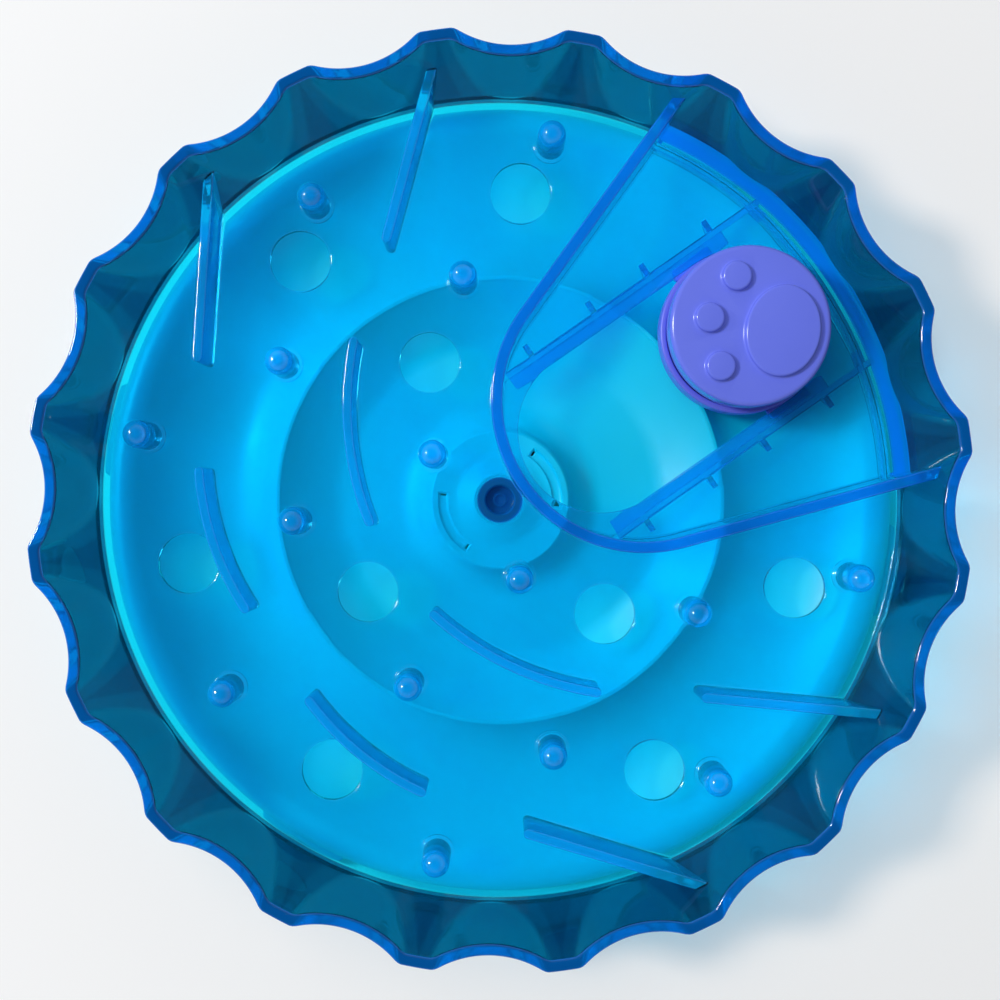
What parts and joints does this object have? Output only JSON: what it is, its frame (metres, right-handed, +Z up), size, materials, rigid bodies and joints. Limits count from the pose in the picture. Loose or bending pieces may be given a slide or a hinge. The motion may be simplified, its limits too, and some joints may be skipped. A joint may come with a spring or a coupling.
{
  "type": "cat puzzle feeder",
  "caption": "Clear fluted tray that turns on a round dish, with pegs, fins and treat holes, and a paw button that slides and spins in a slot of the tray.",
  "frame": {"origin": "on the turning axis, at the level that the rubber feet stand on", "axes": "+Z up along the turning axis, +X along the middle of the slot from the pivot towards the tray wall"},
  "size_m": [0.278, 0.278, 0.046],
  "materials": {
    "tray_plastic": "clear, glossy",
    "dish_plastic": "glossy",
    "button_plastic": "satin",
    "rubber": "matte",
    "steel": "satin"
  },
  "bodies": {
    "dish": {"dish_hub": "dish_plastic", "dish_inner_floor": "dish_plastic", "dish_lug_1": "dish_plastic", "dish_lug_2": "dish_plastic", "dish_lug_3": "dish_plastic", "dish_lug_4": "dish_plastic", "dish_outer_floor": "dish_plastic", "dish_ridge": "dish_plastic", "dish_rim": "dish_plastic", "rubber_foot_1": "rubber", "rubber_foot_2": "rubber", "rubber_foot_3": "rubber", "rubber_foot_4": "rubber"},
    "tray": {"curved_fin_1": "tray_plastic", "curved_fin_2": "tray_plastic", "curved_fin_3": "tray_plastic", "curved_fin_4": "tray_plastic", "deck_skirt": "tray_plastic", "peg_01": "tray_plastic", "peg_02": "tray_plastic", "peg_03": "tray_plastic", "peg_04": "tray_plastic", "peg_05": "tray_plastic", "peg_06": "tray_plastic", "peg_07": "tray_plastic", "peg_08": "tray_plastic", "peg_09": "tray_plastic", "peg_10": "tray_plastic", "peg_11": "tray_plastic", "peg_12": "tray_plastic", "peg_13": "tray_plastic", "peg_14": "tray_plastic", "peg_15": "tray_plastic", "pivot_post": "tray_plastic", "pivot_screw": "steel", "pivot_washer": "steel", "slider_deck": "tray_plastic", "slider_rail_left": "tray_plastic", "slider_rail_right": "tray_plastic", "straight_fin_1": "tray_plastic", "straight_fin_2": "tray_plastic", "straight_fin_3": "tray_plastic", "straight_fin_4": "tray_plastic", "tray_floor_left_back": "tray_plastic", "tray_floor_left_front": "tray_plastic", "tray_floor_left_side": "tray_plastic", "tray_floor_right_back": "tray_plastic", "tray_floor_right_front": "tray_plastic", "tray_floor_right_side": "tray_plastic", "tray_wall": "tray_plastic", "wedge_wall": "tray_plastic"},
    "ring": {"sliding_ring": "button_plastic"},
    "button": {"paw_button": "button_plastic", "button_flange": "button_plastic", "button_screw": "steel"}
  },
  "joints": [
    {"name": "tray_spin", "type": "hinge", "parent": "dish", "child": "tray", "pos_m": [0, 0, 0], "axis": [0, 0, 1], "continuous": true},
    {"name": "ring_slide", "type": "slide", "parent": "tray", "child": "ring", "axis": [1, 0, 0], "range_m": [-0.0534, 0]},
    {"name": "button_spin", "type": "hinge", "parent": "ring", "child": "button", "pos_m": [0.0916, 0, 0], "axis": [0, 0, 1], "continuous": true}
  ]
}
